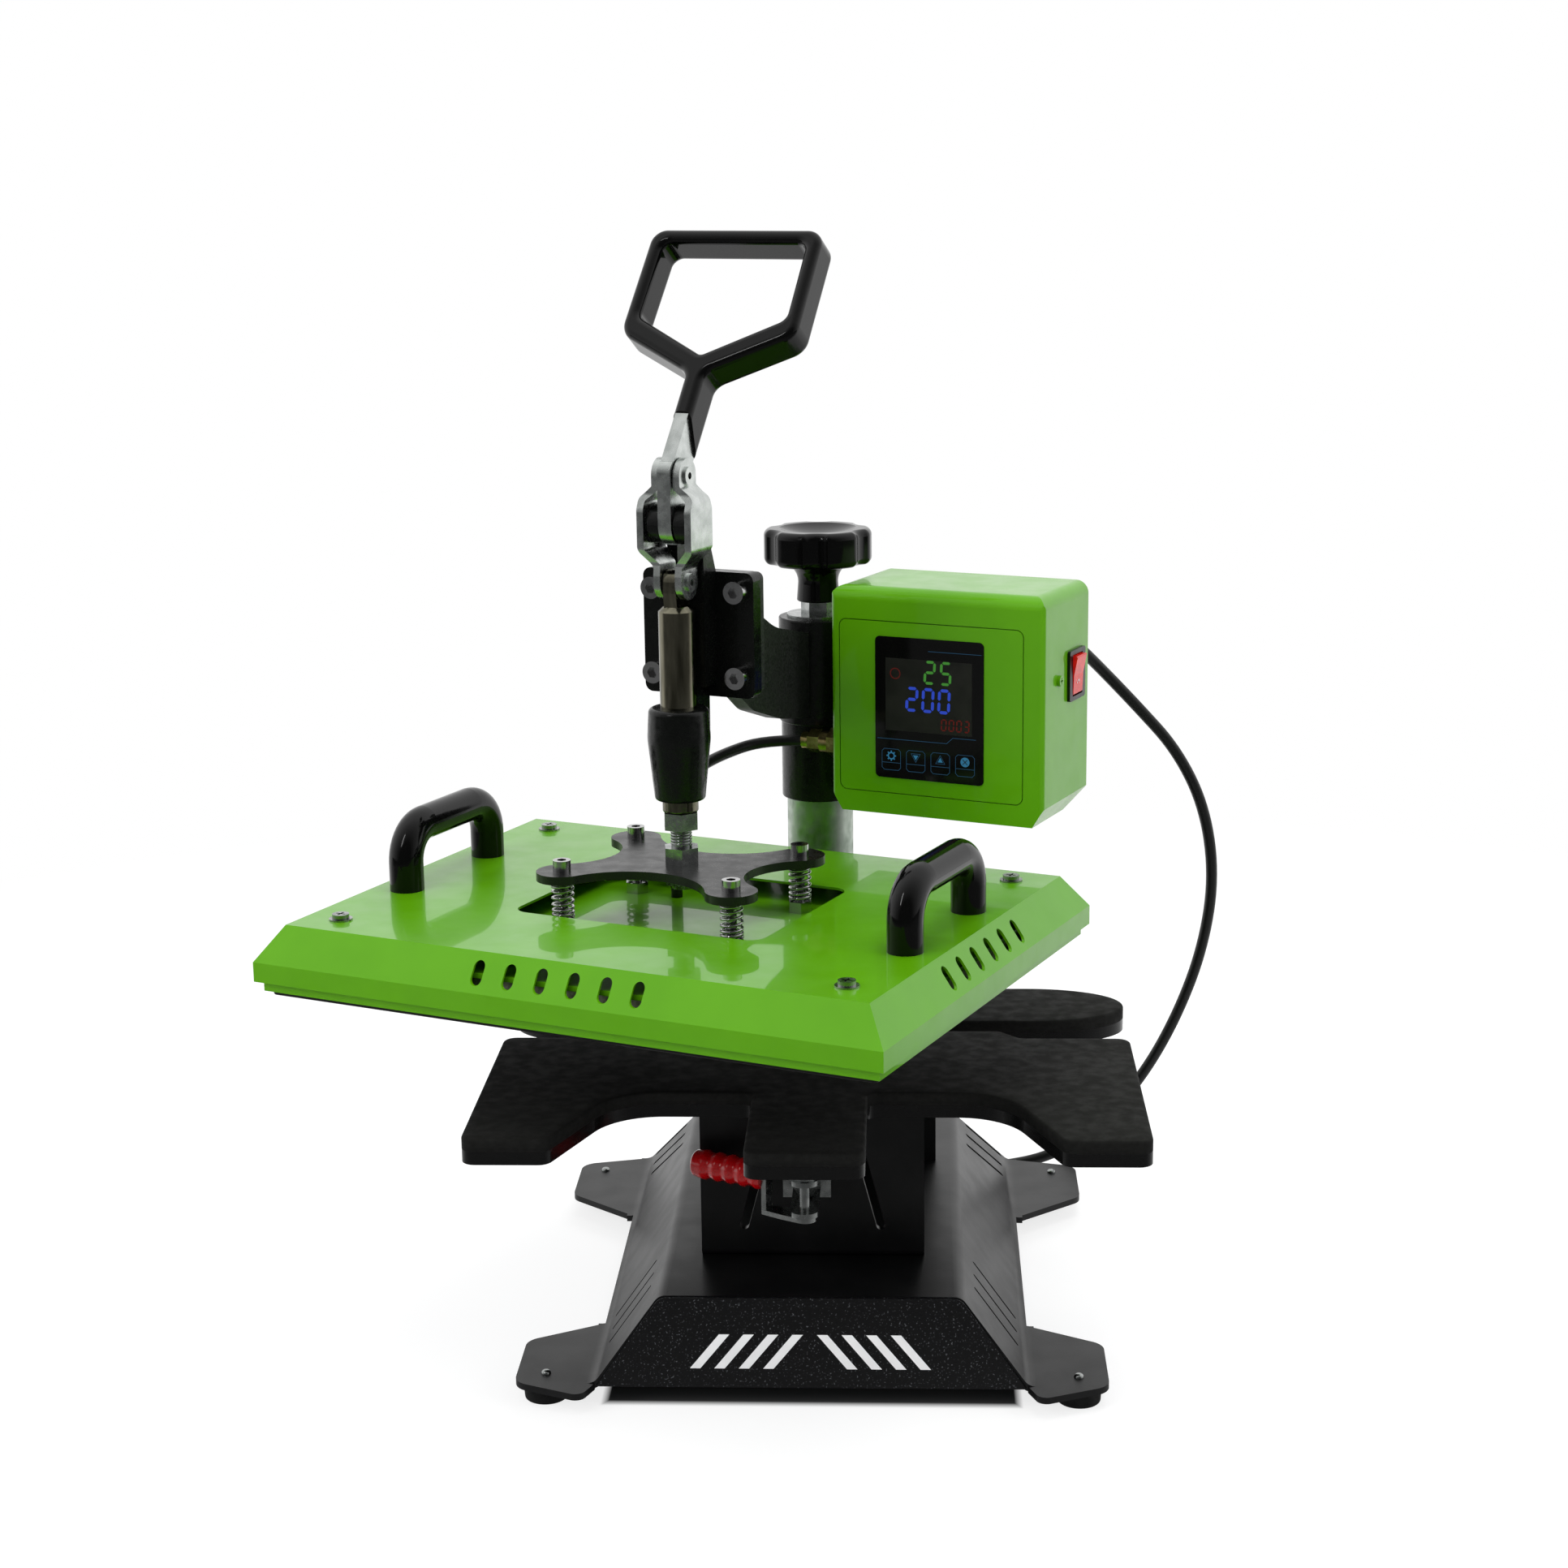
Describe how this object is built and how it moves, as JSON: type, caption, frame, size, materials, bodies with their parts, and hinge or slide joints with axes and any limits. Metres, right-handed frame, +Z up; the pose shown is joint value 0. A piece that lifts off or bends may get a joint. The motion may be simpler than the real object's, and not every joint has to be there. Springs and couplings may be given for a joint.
{
  "type": "combo heat press",
  "caption": "Swing-away heat press: sprung heating platen on a toggle handle over shaped lower boards, with a control box on the post.",
  "frame": {"origin": "on the floor plane, midway between the four feet", "axes": "+X to the operator's right, +Y away from the operator, +Z up"},
  "size_m": [0.5809, 0.6119, 0.6587],
  "materials": {
    "green_coat": "gloss lime powder coat",
    "black_gloss": "gloss black paint",
    "black_texture": "fine wrinkle powder coat",
    "grey_texture": "fine texture dark grey",
    "sparkle_black": "black with fine sparkle",
    "white_inlay": "plain white",
    "foot_rubber": "matte",
    "foam": "matte silicone foam",
    "zinc": "zinc plated",
    "galvanised": "galvanised tube",
    "nickel": "dark nickel",
    "chrome_steel": "bright",
    "cast": "cast aluminium",
    "dip_black": "gloss dipped vinyl",
    "red_vinyl": "ribbed red vinyl",
    "brass_gland": "satin",
    "switch_red": "red lens",
    "black_plastic": "moulded",
    "display": "dark display window",
    "board_green": "circuit board",
    "wool": "insulation board",
    "cable": "cable sheath"
  },
  "bodies": {
    "base": {"base_shell": "black_texture", "front_panel": "sparkle_black", "panel_inlay": "white_inlay", "rear_panel": "black_texture", "rubber_feet": "foot_rubber", "foot_screws": "zinc", "post_tube": "galvanised", "base_bolts": "zinc", "post_nut": "zinc", "bridge_bracket": "black_gloss", "rear_support": "black_gloss", "butterfly_board": "black_gloss", "butterfly_pad": "foam", "oval_board": "black_gloss", "oval_pad": "foam", "board_screws": "zinc", "latch_body": "zinc", "power_coil": "cable", "power_plug": "black_plastic"},
    "lift": {"guide_bush": "nickel", "thrust_washer": "zinc"},
    "head": {"swing_sleeve": "black_gloss", "head_arm": "grey_texture", "toggle_casting": "black_gloss", "flange_screws": "chrome_steel", "pivot_rivet": "zinc", "box_bracket": "black_gloss", "box_shell": "green_coat", "box_front_panel": "green_coat", "display_window": "display", "box_back_cover": "green_coat", "box_electronics": "board_green", "switch_bezel": "black_plastic", "box_screws": "zinc", "cable_gland": "brass_gland", "strain_relief": "black_plastic", "power_cord": "cable"},
    "knob": {"pressure_knob": "black_plastic", "pressure_spindle": "zinc"},
    "handle": {"handle_strips": "zinc", "handle_grip": "dip_black"},
    "link": {"link_plates": "zinc", "link_rivets": "zinc"},
    "plunger": {"plunger_rod": "nickel", "plunger_stud": "zinc", "spider_plate": "black_texture", "heater_cable": "cable"},
    "platen": {"heat_cover": "green_coat", "platen_frame": "green_coat", "inner_plate": "green_coat", "insulation": "wool", "heating_plate": "cast", "side_handles": "dip_black", "cover_screws": "zinc", "spring_bolts": "chrome_steel", "platen_springs": "chrome_steel"},
    "switch": {"rocker_switch": "switch_red"},
    "latch": {"latch_handle": "zinc", "latch_grip": "red_vinyl"},
    "latch_pin": {"latch_plunger": "zinc"}
  },
  "joints": [
    {"name": "head_lift", "type": "slide", "parent": "base", "child": "lift", "axis": [0, 0, 1], "range_m": [0, 0.01]},
    {"name": "head_swing", "type": "hinge", "parent": "lift", "child": "head", "pos_m": [0, 0.0884, 0.4], "axis": [0, 0, 1], "range_deg": [-65, 23.63], "deforming": ["power_cord"]},
    {"name": "knob_turn", "type": "hinge", "parent": "lift", "child": "knob", "pos_m": [0, 0.0884, 0.4], "axis": [0, 0, 1], "range_deg": [0, 2060]},
    {"name": "plunger_slide", "type": "slide", "parent": "head", "child": "plunger", "axis": [0, 0, -1], "range_m": [0, 0.0554], "deforming": ["heater_cable"]},
    {"name": "handle_pull", "type": "hinge", "parent": "head", "child": "handle", "pos_m": [-0.0754, -0.08393, 0.4983], "axis": [0.9162, -0.4008, 0], "range_deg": [0, 180]},
    {"name": "link_swing", "type": "hinge", "parent": "handle", "child": "link", "pos_m": [-0.0754, -0.08393, 0.526], "axis": [0.9162, -0.4008, 0], "range_deg": [-180, 0]},
    {"name": "platen_float", "type": "slide", "parent": "plunger", "child": "platen", "axis": [0, 0, 1], "range_m": [0, 0.003], "stiffness_N_per_m": 6000, "springref_m": -0.004, "deforming": ["platen_springs"]},
    {"name": "power_rocker", "type": "hinge", "parent": "head", "child": "switch", "pos_m": [0.15839, 0.02756, 0.3896], "axis": [0.4008, 0.9162, 0], "range_deg": [-13, 0]},
    {"name": "latch_swing", "type": "hinge", "parent": "base", "child": "latch", "pos_m": [-0.003, -0.158, 0.122], "axis": [0, 0, 1], "range_deg": [0, 100]},
    {"name": "latch_pin_slide", "type": "slide", "parent": "base", "child": "latch_pin", "axis": [0, -1, 0], "range_m": [0, 0.008]}
  ],
  "couplings": [
    {"joint": "knob_turn", "follows": "head_lift", "rad_per_m": 3590.4},
    {"joint": "handle_pull", "follows": "plunger_slide", "rad_per_m": 56.7},
    {"joint": "link_swing", "follows": "plunger_slide", "rad_per_m": -56.7},
    {"joint": "latch_pin_slide", "follows": "latch_swing", "m_per_rad": 0.00458}
  ]
}
